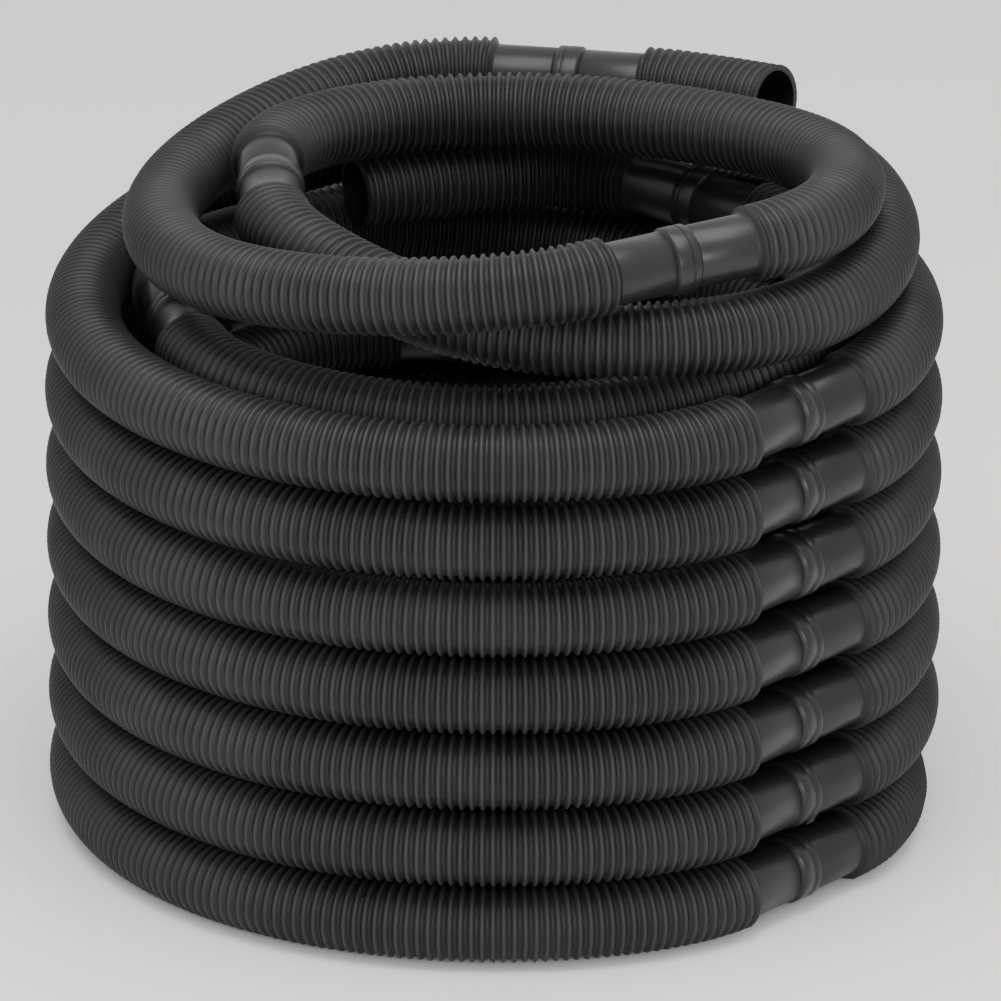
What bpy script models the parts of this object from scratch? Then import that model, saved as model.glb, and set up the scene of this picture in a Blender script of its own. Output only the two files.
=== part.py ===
"""Corrugated vacuum hose for a pool, coiled for storage.

Metres, +Z up, front towards -Y, origin on the ground under the middle of the coil. The hose is one
long tube: corrugated sections with a smooth cuff between each two. Its centreline is given in hose
diameters, from the free end on top, down the outer layer and up the inner layer.
"""

import math

import bmesh
import bpy
import numpy as np
from mathutils import Vector

# The hose
DIAMETER = 0.051  # over the ridges
WALL = 0.0016
CUFF_BORE = 0.038  # takes a 1 1/2 inch connector
CUFF_DIAMETER = 0.0415
BAND_DIAMETER = 0.0452
CUFF_LENGTH = 0.102
BAND_LENGTH = 0.019
GAP = 0.0003  # between pieces that touch
END_RUN = 0.008  # straight stretch of a section next to its cuff

# The coil, in diameters
OUTER_RADIUS = 5.3
INNER_RADIUS = 4.25
FIRST_HEIGHT = 0.5
OUTER_LEVELS = 7
INNER_LEVELS = 6
OUTER_PITCH = 1.05
INNER_PITCH = 1.12
TOP_TURN_RISE = 0.82
TOP_TURN_CREEP = 0.37

# The coil's angles, in degrees to the right of the front
OUTER_STEP = (100, 190)  # start and length of the step down from one turn to the next
INNER_STEP = (10, 130)
TOP_STEP = 130
TOP_CREEP = (220, 180)  # after the top turn starts
END_MOVE = (360, 65)  # likewise, for the hose's end, which moves inward
END_MOVE_BY = 0.78  # diameters
INWARD_MOVE = (60, 110)
COIL_START = 130
COIL_END_AFTER = 431  # after the top turn starts
COIL_POINT_EVERY = 20

# The loops on top of the coil, in diameters: right, back, up
TOP_LOOPS = [
    (3.62, 2.92, 8.59), (3.22, 3.28, 8.51), (2.58, 3.76, 8.44), (1.75, 4.24, 8.43),
    (0.40, 4.60, 8.42), (-1.20, 4.45, 8.38), (-2.70, 3.55, 8.24), (-3.83, 2.01, 8.08),
    (-4.26, -0.10, 8.18), (-3.90, -2.20, 8.30), (-2.70, -3.60, 8.50), (-1.20, -4.28, 8.66),
    (0.30, -4.45, 8.80), (1.67, -4.28, 9.00), (3.20, -3.45, 9.02), (4.15, -2.10, 8.90),
    (4.55, -0.50, 8.77), (4.28, 0.85, 8.66), (3.35, 1.85, 8.52), (2.00, 2.75, 8.42),
    (0.50, 3.42, 8.34), (-1.00, 3.30, 8.30), (-2.30, 2.45, 8.36), (-3.00, 1.20, 8.44),
    (-3.10, -0.10, 8.50), (-2.75, -1.25, 8.46), (-2.10, -2.15, 8.36), (-1.25, -2.95, 8.18),
    (-0.20, -3.60, 7.97), (0.90, -3.98, 7.98), (2.15, -4.12, 8.02), (3.25, -3.66, 7.95),
    (4.22, -2.60, 7.88), (4.85, -1.10, 7.82), (4.99, 0.50, 7.80), (4.70, 2.15, 7.79),
]

# Where the cuffs are: a place along the centreline, and how many sections lead to it from the last.
# A place on the loops is a point's number in TOP_LOOPS, and one on the coil is an angle.
LOOP_CUFFS = [(3.52, 1), (13.45, 1), (23.85, 1)]
COIL_CUFFS = [(407.3, 2), (2567.3, 12), (4599, 9), (4818, 1)]

# Facets
TUBE_SIDES = 8
FLAT_DROP = DIAMETER / 2 * (1 - math.cos(math.pi / TUBE_SIDES))  # so that the tube rests on a flat
CUFF_SIDES = 10
TUBE_POINT_EVERY = 1.6  # diameters
CURVE_STEPS = 12  # between two points of the centreline

BLACK = (0.018, 0.018, 0.019, 1.0)


def ease(t):
    """From 0 to 1 with level ends."""
    t = min(max(t, 0.0), 1.0)
    return t * t * (3 - 2 * t)


OUTER_END = 360 * OUTER_LEVELS + INWARD_MOVE[0]  # the angle where the lowest turn moves inward
INNER_START = OUTER_END + (360 + INNER_STEP[0] - INWARD_MOVE[0])
TOP_START = INNER_START + 360 * (INNER_LEVELS - 2) + INNER_STEP[1]


def coil_height(angle):
    if angle < OUTER_END:
        turns, part = divmod(angle - OUTER_STEP[0], 360)
        level = OUTER_LEVELS - turns - ease(part / OUTER_STEP[1])
        return FIRST_HEIGHT + OUTER_PITCH * level
    if angle < INNER_START:
        return FIRST_HEIGHT
    turns, part = divmod(min(angle, TOP_START) - INNER_START, 360)
    level = turns + ease(part / INNER_STEP[1])
    rise = TOP_TURN_RISE * ease((angle - TOP_START) / TOP_STEP)
    creep = TOP_TURN_CREEP * ease((angle - TOP_START - TOP_CREEP[0]) / TOP_CREEP[1])
    return FIRST_HEIGHT + INNER_PITCH * level + rise + creep


def coil_point(angle):
    move = ease((angle - OUTER_END) / INWARD_MOVE[1])
    end_move = ease((angle - TOP_START - END_MOVE[0]) / END_MOVE[1])
    radius = OUTER_RADIUS + (INNER_RADIUS - OUTER_RADIUS) * move - END_MOVE_BY * end_move
    a = math.radians(angle)
    return (radius * math.sin(a), -radius * math.cos(a), coil_height(angle))


def centreline():
    """The route's smooth curve, and the distance along it of each of its points, in diameters."""
    angles = list(range(COIL_START, TOP_START + COIL_END_AFTER, COIL_POINT_EVERY))
    angles.append(TOP_START + COIL_END_AFTER)
    points = np.array(TOP_LOOPS + [coil_point(a) for a in angles])
    padded = np.vstack([2 * points[0] - points[1], points, 2 * points[-1] - points[-2]])
    curve = []
    for four in zip(padded, padded[1:], padded[2:], padded[3:]):
        curve.extend(span(*four))
    curve.append(points[-1])
    curve = np.array(curve)
    lengths = np.linalg.norm(np.diff(curve, axis=0), axis=1)
    return curve, np.concatenate([[0.0], np.cumsum(lengths)])


def span(before, start, end, after):
    """Centripetal spline from start to end, without the end itself."""
    knots = [0.0]
    for a, b in ((before, start), (start, end), (end, after)):
        knots.append(knots[-1] + math.sqrt(np.linalg.norm(b - a)))
    t0, t1, t2, t3 = knots
    for t in np.linspace(t1, t2, CURVE_STEPS, endpoint=False):
        a = before + (start - before) * (t - t0) / (t1 - t0)
        b = start + (end - start) * (t - t1) / (t2 - t1)
        c = end + (after - end) * (t - t2) / (t3 - t2)
        d = a + (b - a) * (t - t0) / (t2 - t0)
        e = b + (c - b) * (t - t1) / (t3 - t1)
        yield d + (e - d) * (t - t1) / (t2 - t1)


CURVE, ALONG = centreline()


def at(distance):
    """The point of the centreline at this distance from the free end, in metres."""
    point = [DIAMETER * np.interp(distance / DIAMETER, ALONG, axis) for axis in CURVE.T]
    return np.array(point) - (0, 0, FLAT_DROP)


def distance_of(place):
    """The distance of a place given in points of the centreline, in metres."""
    return DIAMETER * float(np.interp(place * CURVE_STEPS, range(len(ALONG)), ALONG))


def cuff_distances():
    places = list(LOOP_CUFFS)
    for angle, sections in COIL_CUFFS:
        places.append((len(TOP_LOOPS) + (angle - COIL_START) / COIL_POINT_EVERY, sections))
    found = []
    last = 0.0
    for place, sections in places:
        here = distance_of(place)
        found += [last + (here - last) * i / sections for i in range(1, sections + 1)]
        last = here
    return found


def cuff_ends(distance):
    """A cuff is straight, so it lies on the chord between two points of the centreline."""
    first = at(distance - CUFF_LENGTH / 2)
    last = at(distance + CUFF_LENGTH / 2)
    middle = (first + last) / 2
    axis = (last - first) / np.linalg.norm(last - first)
    return middle - axis * CUFF_LENGTH / 2, middle + axis * CUFF_LENGTH / 2, axis


def end_run(face, axis):
    """The straight stretch at a section's end: its face and a point behind it."""
    return [face, face + axis * END_RUN]


def section_points(before, after):
    """Points of the corrugated section between two cuffs. None stands for the hose's own end."""
    last = DIAMETER * ALONG[-1]
    start, end = 0.0, last
    if before is None:
        axis = at(END_RUN) - at(0)
        axis /= np.linalg.norm(axis)
        first_run = [at(0)] + end_run(at(0) + axis * END_RUN, axis)
    else:
        start = before + CUFF_LENGTH / 2
        _, high, axis = cuff_ends(before)
        first_run = end_run(high + axis * GAP, axis)
    if after is None:
        axis = at(last - END_RUN) - at(last)
        axis /= np.linalg.norm(axis)
        last_run = [at(last)] + end_run(at(last) + axis * END_RUN, axis)
    else:
        end = after - CUFF_LENGTH / 2
        low, _, axis = cuff_ends(after)
        last_run = end_run(low - axis * GAP, -axis)
    count = math.ceil((end - start) / (TUBE_POINT_EVERY * DIAMETER))
    middle = [at(distance) for distance in np.linspace(start, end, count + 1)[1:-1]]
    return first_run + middle + last_run[::-1]


def clear_scene():
    for old in list(bpy.data.objects):
        bpy.data.objects.remove(old, do_unlink=True)


def black_plastic(name, roughness):
    material = bpy.data.materials.new(name)
    material.use_nodes = True
    shader = material.node_tree.nodes["Principled BSDF"]
    shader.inputs["Base Color"].default_value = BLACK
    shader.inputs["Roughness"].default_value = roughness
    shader.inputs["Metallic"].default_value = 0.0
    return material


def shell(thing, material):
    """Gives an open tube its wall, on the inside."""
    thing.data.materials.append(material)
    wall = thing.modifiers.new("wall", "SOLIDIFY")
    wall.thickness = WALL
    wall.offset = -1


def tube(name, points, collection, material, origin=(0, 0, 0)):
    curve = bpy.data.curves.new(name, "CURVE")
    curve.dimensions = "3D"
    curve.twist_mode = "Z_UP"
    curve.bevel_depth = DIAMETER / 2
    curve.bevel_resolution = TUBE_SIDES // 2 - 2
    line = curve.splines.new("POLY")
    line.points.add(len(points) - 1)
    for point, place in zip(line.points, points):
        point.co = (*(place - np.array(origin)), 1.0)
        point.tilt = math.pi / TUBE_SIDES
    line.use_smooth = True
    thing = bpy.data.objects.new(name, curve)
    thing.location = origin
    collection.objects.link(thing)
    shell(thing, material)
    return thing


def cuff_profile():
    """Down the outside from the top, then up the bore."""
    barrel = CUFF_DIAMETER / 2
    band = BAND_DIAMETER / 2
    bore = CUFF_BORE / 2
    half = CUFF_LENGTH / 2
    edge = BAND_LENGTH / 2
    return [
        (barrel, half), (barrel, edge), (band, edge), (band, -edge),
        (barrel, -edge), (barrel, -half), (bore, -half), (bore, half),
    ]


def cuff_mesh():
    mesh = bpy.data.meshes.new("cuff")
    outline = bmesh.new()
    ring = [outline.verts.new((radius, 0, height)) for radius, height in cuff_profile()]
    for a, b in zip(ring, ring[1:] + ring[:1]):
        outline.edges.new((a, b))
    outline.to_mesh(mesh)
    outline.free()
    return mesh


def cuff(name, distance, mesh, collection, material):
    low, high, axis = cuff_ends(distance)
    thing = bpy.data.objects.new(name, mesh)
    collection.objects.link(thing)
    thing.location = (low + high) / 2
    thing.rotation_mode = "QUATERNION"
    thing.rotation_quaternion = Vector(axis).to_track_quat("Z", "Y")
    if not mesh.materials:
        mesh.materials.append(material)
    turn = thing.modifiers.new("turn", "SCREW")
    turn.steps = CUFF_SIDES
    turn.render_steps = CUFF_SIDES
    turn.use_merge_vertices = True
    turn.merge_threshold = 0.0001
    return thing


def hinge_of_free_end(first_cuff):
    """The point about which the free end lifts: the top of its root's face, next to the cuff."""
    low, _, axis = cuff_ends(first_cuff)
    side = np.cross(axis, (0, 0, 1))
    up = np.cross(side, axis)
    up /= np.linalg.norm(up)
    return low - axis * GAP + up * DIAMETER / 2


def build():
    clear_scene()
    collection = bpy.data.collections.new("vacuum_hose")
    bpy.context.scene.collection.children.link(collection)
    ridged = black_plastic("ridged_plastic", 0.42)
    smooth = black_plastic("smooth_plastic", 0.3)
    cuffs = cuff_distances()
    mesh = cuff_mesh()
    for number, distance in enumerate(cuffs, 1):
        cuff(f"cuff_{number:02d}", distance, mesh, collection, smooth)
    for number, (before, after) in enumerate(zip(cuffs, cuffs[1:]), 1):
        tube(f"hose_section_{number:02d}", section_points(before, after), collection, ridged)
    tube("inner_end", section_points(cuffs[-1], None), collection, ridged)
    hinge = bpy.data.objects.new("free_end_hinge", None)
    hinge.location = hinge_of_free_end(cuffs[0])
    collection.objects.link(hinge)
    free_end = tube("free_end", section_points(None, cuffs[0]), collection, ridged, hinge.location)
    free_end.parent = hinge
    free_end.location = (0, 0, 0)


build()
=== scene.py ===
"""Looks of the coiled pool vacuum hose: ridged lengths, smooth cuffs, light and camera.

Metres, +Z up, front towards -Y, in the CAD model's frame. Each CAD node is replaced by a finer piece
on the same centreline. Distances along the hose run from the free end on top of the coil.
"""

import math

import bmesh
import bpy
import numpy as np
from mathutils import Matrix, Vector


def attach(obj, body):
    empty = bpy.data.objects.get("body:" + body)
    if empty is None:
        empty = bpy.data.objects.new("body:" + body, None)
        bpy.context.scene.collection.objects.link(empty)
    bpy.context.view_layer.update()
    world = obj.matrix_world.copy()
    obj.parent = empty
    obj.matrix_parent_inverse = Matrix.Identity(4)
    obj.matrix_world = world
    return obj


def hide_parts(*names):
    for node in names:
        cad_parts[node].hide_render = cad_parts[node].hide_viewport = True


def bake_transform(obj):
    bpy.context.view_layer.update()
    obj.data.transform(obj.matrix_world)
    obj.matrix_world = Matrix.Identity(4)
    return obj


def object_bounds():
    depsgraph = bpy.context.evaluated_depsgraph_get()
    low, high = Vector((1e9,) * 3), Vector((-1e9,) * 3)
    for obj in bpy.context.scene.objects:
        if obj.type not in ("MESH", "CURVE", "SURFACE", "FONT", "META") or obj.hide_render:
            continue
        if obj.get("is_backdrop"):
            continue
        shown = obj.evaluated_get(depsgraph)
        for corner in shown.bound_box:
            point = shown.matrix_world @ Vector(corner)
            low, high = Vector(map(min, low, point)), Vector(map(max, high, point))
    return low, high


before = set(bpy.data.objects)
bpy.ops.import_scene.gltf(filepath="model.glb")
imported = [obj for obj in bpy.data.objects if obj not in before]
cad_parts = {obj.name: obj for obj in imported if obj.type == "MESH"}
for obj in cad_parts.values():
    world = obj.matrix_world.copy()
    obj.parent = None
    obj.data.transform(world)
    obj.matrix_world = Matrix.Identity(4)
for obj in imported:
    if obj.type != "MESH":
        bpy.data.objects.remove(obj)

CAD_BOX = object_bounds()

# The hose
DIAMETER = 0.051  # over the ridges
CUFF_LENGTH = 0.102
CUFF_RADIUS = 0.02075
CUFF_BORE_RADIUS = 0.019
BAND_RADIUS = 0.0226  # the raised band round the cuff's middle
BAND_EDGE_DROP = 0.0004  # its rounded edges
GROOVE_DEPTH = 0.0007
RIDGE_PITCH = 0.0065
RIDGE_DEPTH = 0.0029
ROOT_RADIUS = DIAMETER / 2 - RIDGE_DEPTH
WALL = 0.0012

# The coil, in diameters
OUTER_RADIUS = 5.3
INNER_RADIUS = 4.25
FIRST_HEIGHT = 0.5
OUTER_LEVELS = 7
INNER_LEVELS = 6
OUTER_PITCH = 1.05
INNER_PITCH = 1.12
TOP_TURN_RISE = 0.82
TOP_TURN_CREEP = 0.37

# The coil's angles, in degrees to the right of the front
OUTER_STEP = (100, 190)  # start and length of the step down from one turn to the next
INNER_STEP = (10, 130)
TOP_STEP = 130
TOP_CREEP = (220, 180)  # after the top turn starts
END_MOVE = (360, 65)  # likewise, for the hose's end, which moves inward
END_MOVE_BY = 0.78  # diameters
INWARD_MOVE = (60, 110)
COIL_START = 130
COIL_END_AFTER = 431  # after the top turn starts
COIL_POINT_EVERY = 20
CURVE_STEPS = 12  # between two points of the centreline

# The loops on top of the coil, in diameters: right, back, up
TOP_LOOPS = [
    (3.62, 2.92, 8.59), (3.22, 3.28, 8.51), (2.58, 3.76, 8.44), (1.75, 4.24, 8.43),
    (0.40, 4.60, 8.42), (-1.20, 4.45, 8.38), (-2.70, 3.55, 8.24), (-3.83, 2.01, 8.08),
    (-4.26, -0.10, 8.18), (-3.90, -2.20, 8.30), (-2.70, -3.60, 8.50), (-1.20, -4.28, 8.66),
    (0.30, -4.45, 8.80), (1.67, -4.28, 9.00), (3.20, -3.45, 9.02), (4.15, -2.10, 8.90),
    (4.55, -0.50, 8.77), (4.28, 0.85, 8.66), (3.35, 1.85, 8.52), (2.00, 2.75, 8.42),
    (0.50, 3.42, 8.34), (-1.00, 3.30, 8.30), (-2.30, 2.45, 8.36), (-3.00, 1.20, 8.44),
    (-3.10, -0.10, 8.50), (-2.75, -1.25, 8.46), (-2.10, -2.15, 8.36), (-1.25, -2.95, 8.18),
    (-0.20, -3.60, 7.97), (0.90, -3.98, 7.98), (2.15, -4.12, 8.02), (3.25, -3.66, 7.95),
    (4.22, -2.60, 7.88), (4.85, -1.10, 7.82), (4.99, 0.50, 7.80), (4.70, 2.15, 7.79),
]

# Where the cuffs are: a place along the centreline, and how many sections lead to it from the last.
# A place on the loops is a point's number in TOP_LOOPS, and one on the coil is an angle.
LOOP_CUFFS = [(3.52, 1), (13.45, 1), (23.85, 1)]
COIL_CUFFS = [(407.3, 2), (2567.3, 12), (4599, 9), (4818, 1)]


def ease(t):
    """From 0 to 1 with level ends."""
    t = min(max(t, 0.0), 1.0)
    return t * t * (3 - 2 * t)


OUTER_END = 360 * OUTER_LEVELS + INWARD_MOVE[0]  # the angle where the lowest turn moves inward
INNER_START = OUTER_END + (360 + INNER_STEP[0] - INWARD_MOVE[0])
TOP_START = INNER_START + 360 * (INNER_LEVELS - 2) + INNER_STEP[1]


def coil_height(angle):
    if angle < OUTER_END:
        turns, part = divmod(angle - OUTER_STEP[0], 360)
        level = OUTER_LEVELS - turns - ease(part / OUTER_STEP[1])
        return FIRST_HEIGHT + OUTER_PITCH * level
    if angle < INNER_START:
        return FIRST_HEIGHT
    turns, part = divmod(min(angle, TOP_START) - INNER_START, 360)
    level = turns + ease(part / INNER_STEP[1])
    rise = TOP_TURN_RISE * ease((angle - TOP_START) / TOP_STEP)
    creep = TOP_TURN_CREEP * ease((angle - TOP_START - TOP_CREEP[0]) / TOP_CREEP[1])
    return FIRST_HEIGHT + INNER_PITCH * level + rise + creep


def coil_point(angle):
    move = ease((angle - OUTER_END) / INWARD_MOVE[1])
    end_move = ease((angle - TOP_START - END_MOVE[0]) / END_MOVE[1])
    radius = OUTER_RADIUS + (INNER_RADIUS - OUTER_RADIUS) * move - END_MOVE_BY * end_move
    a = math.radians(angle)
    return (radius * math.sin(a), -radius * math.cos(a), coil_height(angle))


def span(before, start, end, after):
    """Centripetal spline from start to end, without the end itself."""
    knots = [0.0]
    for a, b in ((before, start), (start, end), (end, after)):
        knots.append(knots[-1] + math.sqrt(np.linalg.norm(b - a)))
    t0, t1, t2, t3 = knots
    for t in np.linspace(t1, t2, CURVE_STEPS, endpoint=False):
        a = before + (start - before) * (t - t0) / (t1 - t0)
        b = start + (end - start) * (t - t1) / (t2 - t1)
        c = end + (after - end) * (t - t2) / (t3 - t2)
        d = a + (b - a) * (t - t0) / (t2 - t0)
        e = b + (c - b) * (t - t1) / (t3 - t1)
        yield d + (e - d) * (t - t1) / (t2 - t1)


def centreline():
    """The route's smooth curve in metres, and the distance along it of each of its points."""
    angles = list(range(COIL_START, TOP_START + COIL_END_AFTER, COIL_POINT_EVERY))
    angles.append(TOP_START + COIL_END_AFTER)
    points = np.array(TOP_LOOPS + [coil_point(a) for a in angles])
    padded = np.vstack([2 * points[0] - points[1], points, 2 * points[-1] - points[-2]])
    curve = []
    for four in zip(padded, padded[1:], padded[2:], padded[3:]):
        curve.extend(span(*four))
    curve.append(points[-1])
    curve = np.array(curve) * DIAMETER
    lengths = np.linalg.norm(np.diff(curve, axis=0), axis=1)
    return curve, np.concatenate([[0.0], np.cumsum(lengths)])


CURVE, ALONG = centreline()
HOSE_LENGTH = ALONG[-1]


def on_curve(distances):
    """Points of the smooth curve, which runs on straight past both its ends."""
    distances = np.asarray(distances, float)
    points = np.stack([np.interp(distances, ALONG, axis) for axis in CURVE.T], axis=-1)
    first = (CURVE[1] - CURVE[0]) / ALONG[1]
    last = (CURVE[-1] - CURVE[-2]) / (ALONG[-1] - ALONG[-2])
    points = points + np.minimum(distances, 0)[..., None] * first
    return points + np.maximum(distances - HOSE_LENGTH, 0)[..., None] * last


def cuff_distances():
    places = list(LOOP_CUFFS)
    for angle, sections in COIL_CUFFS:
        places.append((len(TOP_LOOPS) + (angle - COIL_START) / COIL_POINT_EVERY, sections))
    found = []
    last = 0.0
    for place, sections in places:
        here = float(np.interp(place * CURVE_STEPS, range(len(ALONG)), ALONG))
        found += [last + (here - last) * i / sections for i in range(1, sections + 1)]
        last = here
    return found


CUFFS = cuff_distances()
LINE_STEP = 0.01
HOSE_REACH = 0.05  # how far the hose spreads a bend
CUFF_REACH = 0.3  # a cuff hardly bends


def hose_line():
    """The centreline as a springy hose takes it, smooth along the ridges and straight in each cuff."""
    distances = np.arange(-2 * LINE_STEP, HOSE_LENGTH + 2 * LINE_STEP, LINE_STEP)
    from_cuff = np.min(np.abs(distances[1:-1, None] - np.array(CUFFS)), axis=1)
    reach = np.where(from_cuff < CUFF_LENGTH / 2, CUFF_REACH, HOSE_REACH)
    stiffness = (reach / LINE_STEP) ** 4
    bend = np.array((1, -2, 1))
    pull = np.eye(len(distances))
    for first, stiff in enumerate(stiffness):
        pull[first:first + 3, first:first + 3] += stiff * np.outer(bend, bend)
    return distances, np.linalg.solve(pull, on_curve(distances))


LINE_AT, LINE = hose_line()
LINE_WAY = np.gradient(LINE, axis=0)
LINE_WAY /= np.linalg.norm(LINE_WAY, axis=1)[:, None]


def line_point(distances):
    return np.stack([np.interp(distances, LINE_AT, axis) for axis in LINE.T], axis=-1)


def line_frame(distances):
    """For each distance: the point, the level direction to the side and the upward one."""
    way = np.stack([np.interp(distances, LINE_AT, axis) for axis in LINE_WAY.T], axis=-1)
    side = np.cross(way, (0, 0, 1))
    side /= np.linalg.norm(side, axis=1)[:, None]
    up = np.cross(side, way)
    up /= np.linalg.norm(up, axis=1)[:, None]
    return line_point(distances), side, up


SHARP_ANGLE = math.radians(50)


def round_shell(name, rings, sides, material):
    """A closed shell round the centreline. rings are (distance, radius, ridge height from 0 to 1),
    out along the outside and back along the bore."""
    rings = np.array(rings)
    centre, side, up = line_frame(rings[:, 0])
    turn = np.linspace(0, 2 * math.pi, sides, endpoint=False)
    across = np.cos(turn)[None, :, None] * side[:, None, :]
    across = across + np.sin(turn)[None, :, None] * up[:, None, :]
    points = (centre[:, None, :] + rings[:, 1, None, None] * across).reshape(-1, 3)
    ring, step = np.meshgrid(np.arange(len(rings)), np.arange(sides), indexing="ij")
    next_ring = (ring + 1) % len(rings)
    next_step = (step + 1) % sides
    corners = [ring * sides + step, ring * sides + next_step,
               next_ring * sides + next_step, next_ring * sides + step]
    faces = np.stack(corners, axis=-1).reshape(-1, 4)
    mesh = bpy.data.meshes.new(name)
    mesh.from_pydata(points.tolist(), [], faces.tolist())
    ridge = mesh.attributes.new("ridge", "FLOAT", "POINT")
    ridge.data.foreach_set("value", np.repeat(rings[:, 2], sides).astype(np.float32))
    face_outward(mesh)
    mesh.shade_smooth()
    mesh.set_sharp_from_angle(angle=SHARP_ANGLE)
    mesh.materials.append(material)
    piece = bpy.data.objects.new(name, mesh)
    bpy.context.scene.collection.objects.link(piece)
    return piece


def face_outward(mesh):
    shape = bmesh.new()
    shape.from_mesh(mesh)
    if shape.calc_volume(signed=True) < 0:
        bmesh.ops.reverse_faces(shape, faces=shape.faces)
        shape.to_mesh(mesh)
    shape.free()


# Materials

BASE_IOR = 1.5
MOTTLE_SCALE = 14  # patches of rubbed plastic, a few centimetres across
MOTTLE_AMOUNT = 0.35
GLOSS_SCALE = 45
GLOSS_LOW = -0.05  # the roughness about its middle value
GLOSS_HIGH = 0.07
GRAIN_SCALE = 900
GRAIN_HEIGHT = 0.0002


def plastic(name, low_colour, crest_colour, roughness, specular, bump):
    """Black polyethylene: a fine moulded grain, uneven gloss, and crests greyer than the valleys: partly
    rubbed wear on the crests, partly painted shade darkening the valleys between the ridges.
    """
    material = bpy.data.materials.new(name)
    material.use_nodes = True
    nodes, links = material.node_tree.nodes, material.node_tree.links
    shader = nodes["Principled BSDF"]
    shader.inputs["IOR"].default_value = BASE_IOR
    shader.inputs["Specular IOR Level"].default_value = specular
    place = nodes.new("ShaderNodeTexCoord")

    def noise(scale, detail):
        node = nodes.new("ShaderNodeTexNoise")
        node.inputs["Scale"].default_value = scale
        node.inputs["Detail"].default_value = detail
        links.new(place.outputs["Object"], node.inputs["Vector"])
        return node.outputs["Fac"]

    def remap(value, low, high, start=0.3, end=0.7):
        node = nodes.new("ShaderNodeMapRange")
        node.inputs["From Min"].default_value = start
        node.inputs["From Max"].default_value = end
        node.inputs["To Min"].default_value = low
        node.inputs["To Max"].default_value = high
        links.new(value, node.inputs["Value"])
        return node.outputs["Result"]

    def blended(factor, first, second):
        node = nodes.new("ShaderNodeMix")
        node.data_type = "RGBA"
        node.inputs["A"].default_value = (*first, 1)
        node.inputs["B"].default_value = (*second, 1)
        links.new(factor, node.inputs["Factor"])
        return node.outputs["Result"]

    # The ridge height lightens the crests and darkens the valleys: partly rubbed wear, partly painted
    # shade in the valleys.
    height = nodes.new("ShaderNodeAttribute")
    height.attribute_name = "ridge"
    uneven = nodes.new("ShaderNodeMath")
    uneven.operation = "MULTIPLY_ADD"
    uneven.inputs[1].default_value = MOTTLE_AMOUNT
    links.new(remap(noise(MOTTLE_SCALE, 3), -1, 1), uneven.inputs[0])
    links.new(height.outputs["Fac"], uneven.inputs[2])
    links.new(blended(uneven.outputs["Value"], low_colour, crest_colour), shader.inputs["Base Color"])
    gloss = remap(noise(GLOSS_SCALE, 4), roughness + GLOSS_LOW, roughness + GLOSS_HIGH)
    links.new(gloss, shader.inputs["Roughness"])
    grain = nodes.new("ShaderNodeBump")
    grain.inputs["Strength"].default_value = bump
    grain.inputs["Distance"].default_value = GRAIN_HEIGHT
    links.new(noise(GRAIN_SCALE, 2), grain.inputs["Height"])
    links.new(grain.outputs["Normal"], shader.inputs["Normal"])
    return material


# Low colour in the valleys, crest colour on the ridges: painted shade in the valleys and rubbed crests.
RIDGED = plastic("ridged_plastic_look", low_colour=(0.007, 0.007, 0.0073),
                 crest_colour=(0.022, 0.022, 0.0225), roughness=0.5, specular=0.26, bump=0.35)
SMOOTH = plastic("smooth_plastic_look", low_colour=(0.012, 0.012, 0.0123),
                 crest_colour=(0.017, 0.017, 0.0173), roughness=0.34, specular=0.32, bump=0.2)

# Ridged lengths. A ridge is a list of places along it, from 0 to 1, and their heights.

FINE_RIDGE = [(0.0, 1.0), (0.11, 0.9), (0.22, 0.52), (0.33, 0.14),
              (0.5, 0.0), (0.67, 0.14), (0.78, 0.52), (0.89, 0.9)]
COARSE_RIDGE = [(0.0, 1.0), (0.2, 0.3), (0.5, 0.0), (0.8, 0.3)]  # where the coil hides it
FINE_SIDES = 28
COARSE_SIDES = 16
CUFF_SIDES = 48
FLARE = 0.004  # from the cuff up to the first ridge
FLARE_LIP = 0.0012  # the small lip where a ridged length meets the cuff
FLARE_VALLEY = 0.0026
LIP_HEIGHT = 0.0003
TUCK = 0.0002  # how far the ends sit inside the cuff's surface and the roots
BORE_EDGE = 0.004
HIDDEN_SECTIONS = range(17, 24)  # the inner layer, below its top turns


def ridge_rings(start, end, start_is_cuff, end_is_cuff, ridge_shape):
    """The outside of a ridged length."""
    tucked_end = CUFF_RADIUS - TUCK
    lip = CUFF_RADIUS + LIP_HEIGHT
    valley = ROOT_RADIUS - TUCK
    rings = []
    first = start + (FLARE if start_is_cuff else 0.0)
    last = end - (FLARE if end_is_cuff else 0.0)
    if start_is_cuff:
        rings += [(start, tucked_end, 0), (start + FLARE_LIP, lip, 0), (start + FLARE_VALLEY, valley, 0)]
    count = round((last - first) / RIDGE_PITCH)
    pitch = (last - first) / count
    for ridge in range(count):
        for part, height in ridge_shape:
            along = first + pitch * (ridge + part)
            rings.append((along, ROOT_RADIUS + RIDGE_DEPTH * height, height))
    if end_is_cuff:
        rings += [(last, DIAMETER / 2, 1), (end - FLARE_VALLEY, valley, 0),
                  (end - FLARE_LIP, lip, 0), (end, tucked_end, 0)]
    return rings


def bore_rings(start, end, start_radius, end_radius):
    """The inside of a ridged length, from its end back to its start."""
    inside = ROOT_RADIUS - WALL
    rings = [(end, end_radius, 0)]
    for distance in np.arange(end - BORE_EDGE, start + BORE_EDGE, -2 * RIDGE_PITCH):
        rings.append((distance, inside, 0))
    rings.append((start, start_radius, 0))
    return rings


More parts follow.
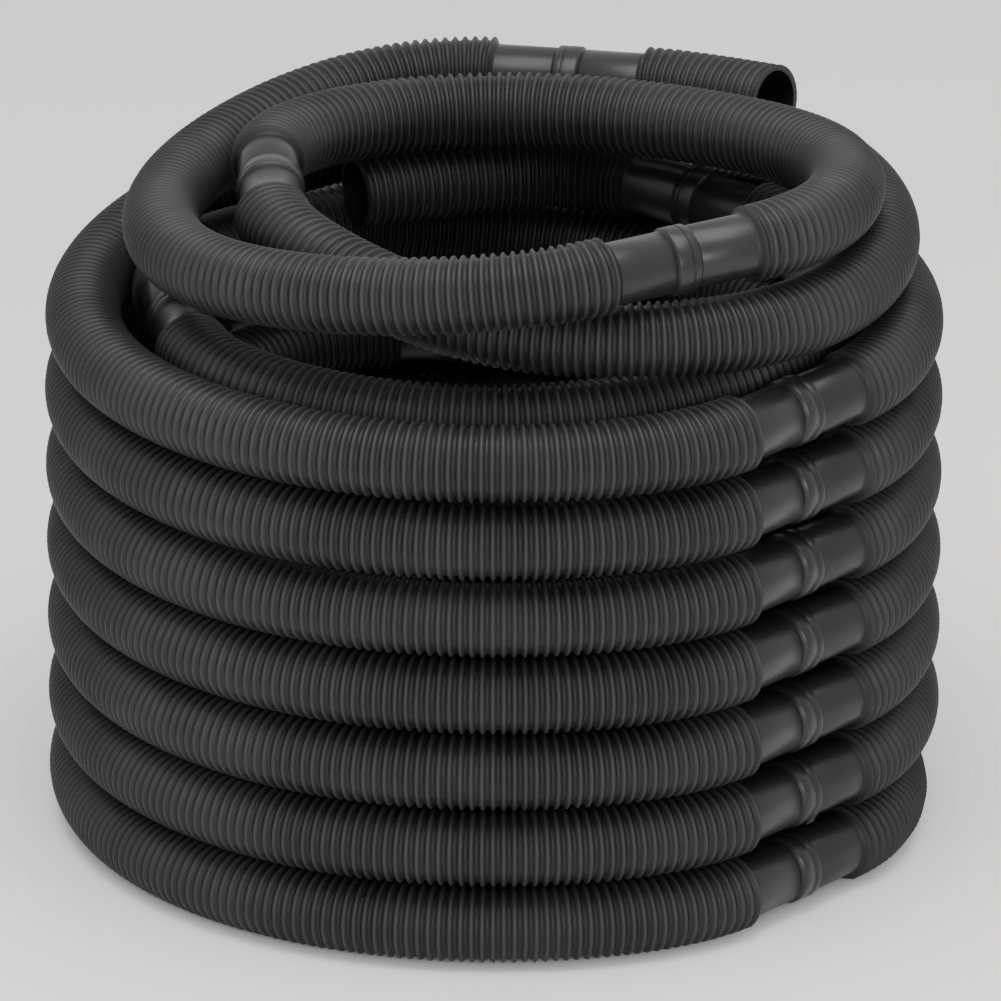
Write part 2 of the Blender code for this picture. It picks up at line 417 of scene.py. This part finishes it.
def ridged_length(name, start, end, start_is_cuff=True, end_is_cuff=True, hidden=False):
    ridge_shape, sides = (COARSE_RIDGE, COARSE_SIDES) if hidden else (FINE_RIDGE, FINE_SIDES)
    rings = ridge_rings(start, end, start_is_cuff, end_is_cuff, ridge_shape)
    cuff_inside = CUFF_RADIUS - WALL
    cut_inside = ROOT_RADIUS - WALL
    rings += bore_rings(start, end, cuff_inside if start_is_cuff else cut_inside,
                        cuff_inside if end_is_cuff else cut_inside)
    piece = round_shell(name + "_ridges", rings, sides, RIDGED)
    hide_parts(name)
    return piece


def cuff_rings(centre):
    """A plain tube with a raised band, a groove beside the band at each side and one in it."""
    half = CUFF_LENGTH / 2
    groove = CUFF_RADIUS - GROOVE_DEPTH
    band_groove = BAND_RADIUS - GROOVE_DEPTH
    band_edge = BAND_RADIUS - BAND_EDGE_DROP
    profile = [
        (-half, CUFF_RADIUS), (-0.0102, CUFF_RADIUS), (-0.0094, groove),
        (-0.0088, CUFF_RADIUS), (-0.0080, band_edge), (-0.0072, BAND_RADIUS),
        (0.0012, BAND_RADIUS), (0.0018, band_groove), (0.0026, band_groove),
        (0.0032, BAND_RADIUS), (0.0074, BAND_RADIUS), (0.0081, band_edge),
        (0.0088, CUFF_RADIUS), (0.0094, groove), (0.0102, CUFF_RADIUS),
        (half, CUFF_RADIUS), (half, CUFF_BORE_RADIUS), (-half, CUFF_BORE_RADIUS),
    ]
    return [(centre + along, radius, 0) for along, radius in profile]


def add_cuffs():
    for number, distance in enumerate(CUFFS, 1):
        name = f"cuff_{number:02d}"
        piece = round_shell(name + "_moulded", cuff_rings(distance), CUFF_SIDES, SMOOTH)
        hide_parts(name)
        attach(piece, "root")


PATH_STEP = DIAMETER / 4


def declare(start, end):
    """Points along a length of hose, every quarter diameter."""
    distances = np.arange(start, end, PATH_STEP)
    path = line_point(np.append(distances, end))


def add_sections():
    half = CUFF_LENGTH / 2
    for number, (before, after) in enumerate(zip(CUFFS, CUFFS[1:]), 1):
        start, end = before + half, after - half
        piece = ridged_length(f"hose_section_{number:02d}", start, end, hidden=number in HIDDEN_SECTIONS)
        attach(piece, "root")
        declare(start, end)
    piece = ridged_length("inner_end", CUFFS[-1] + half, HOSE_LENGTH, end_is_cuff=False)
    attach(piece, "root")


BEND_TIP = 0.02  # a distance along the free end, from its start


def add_free_end():
    """The free end, from the hose's start to the first cuff, baked in place without a body."""
    end = CUFFS[0] - CUFF_LENGTH / 2
    piece = ridged_length("free_end", 0.0, end, start_is_cuff=False)
    root, tip = line_point([end, BEND_TIP])
    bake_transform(piece)


# Studio

CAMERA_RISE = math.asin(0.3725)  # above level, in radians
CAMERA_LENS = 500  # millimetres, as is the sensor's width
SENSOR = 36
VIEW_WIDTH = 13.0 * DIAMETER
VIEW_CENTRE = (0.0909 * DIAMETER, 0.0, 4.177 * DIAMETER)
SKY_STRENGTH = 1.1
FLOOR_REACH = 20
FLOOR_GAP = 0.0005  # below the hose
FLOOR_COLOUR = (0.92, 0.92, 0.92, 1)
FLOOR_ROUGHNESS = 0.7


def add_camera():
    data = bpy.data.cameras.new("camera")
    data.lens = CAMERA_LENS
    data.sensor_width = SENSOR
    data.clip_end = 100
    camera = bpy.data.objects.new("camera", data)
    distance = VIEW_WIDTH * CAMERA_LENS / SENSOR
    away = Vector((0, -math.cos(CAMERA_RISE), math.sin(CAMERA_RISE)))
    camera.location = Vector(VIEW_CENTRE) + away * distance
    camera.rotation_euler = (-away).to_track_quat("-Z", "Y").to_euler()
    bpy.context.scene.collection.objects.link(camera)
    bpy.context.scene.camera = camera


def add_light(name, place, target, size, power):
    data = bpy.data.lights.new(name, "AREA")
    data.shape = "RECTANGLE"
    data.size, data.size_y = size
    data.energy = power
    light = bpy.data.objects.new(name, data)
    light.location = place
    way = Vector(target) - Vector(place)
    light.rotation_euler = way.to_track_quat("-Z", "Y").to_euler()
    bpy.context.scene.collection.objects.link(light)


def add_floor():
    mesh = bpy.data.meshes.new("floor")
    shape = bmesh.new()
    bmesh.ops.create_grid(shape, x_segments=1, y_segments=1, size=FLOOR_REACH)
    shape.to_mesh(mesh)
    shape.free()
    material = bpy.data.materials.new("pale_floor")
    material.use_nodes = True
    shader = material.node_tree.nodes["Principled BSDF"]
    shader.inputs["Base Color"].default_value = FLOOR_COLOUR
    shader.inputs["Roughness"].default_value = FLOOR_ROUGHNESS
    mesh.materials.append(material)
    floor = bpy.data.objects.new("floor", mesh)
    floor.location.z = -FLOOR_GAP
    bpy.context.scene.collection.objects.link(floor)
    floor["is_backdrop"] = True


def add_studio():
    world = bpy.data.worlds.new("studio")
    world.use_nodes = True
    background = world.node_tree.nodes["Background"]
    background.inputs["Color"].default_value = (1, 1, 1, 1)
    background.inputs["Strength"].default_value = SKY_STRENGTH
    bpy.context.scene.world = world
    add_light("overhead", place=(0, -0.3, 1.9), target=(0, 0, 0.3), size=(1.6, 1.2), power=34)
    add_light("front", place=(0.3, -2.4, 0.9), target=(0, 0, 0.2), size=(1.4, 0.7), power=26)
    add_floor()
    add_camera()


add_studio()
add_cuffs()
add_sections()
add_free_end()

for box_name, box in (("cad", CAD_BOX), ("visual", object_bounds())):
    [[float(value) for value in corner] for corner in box]
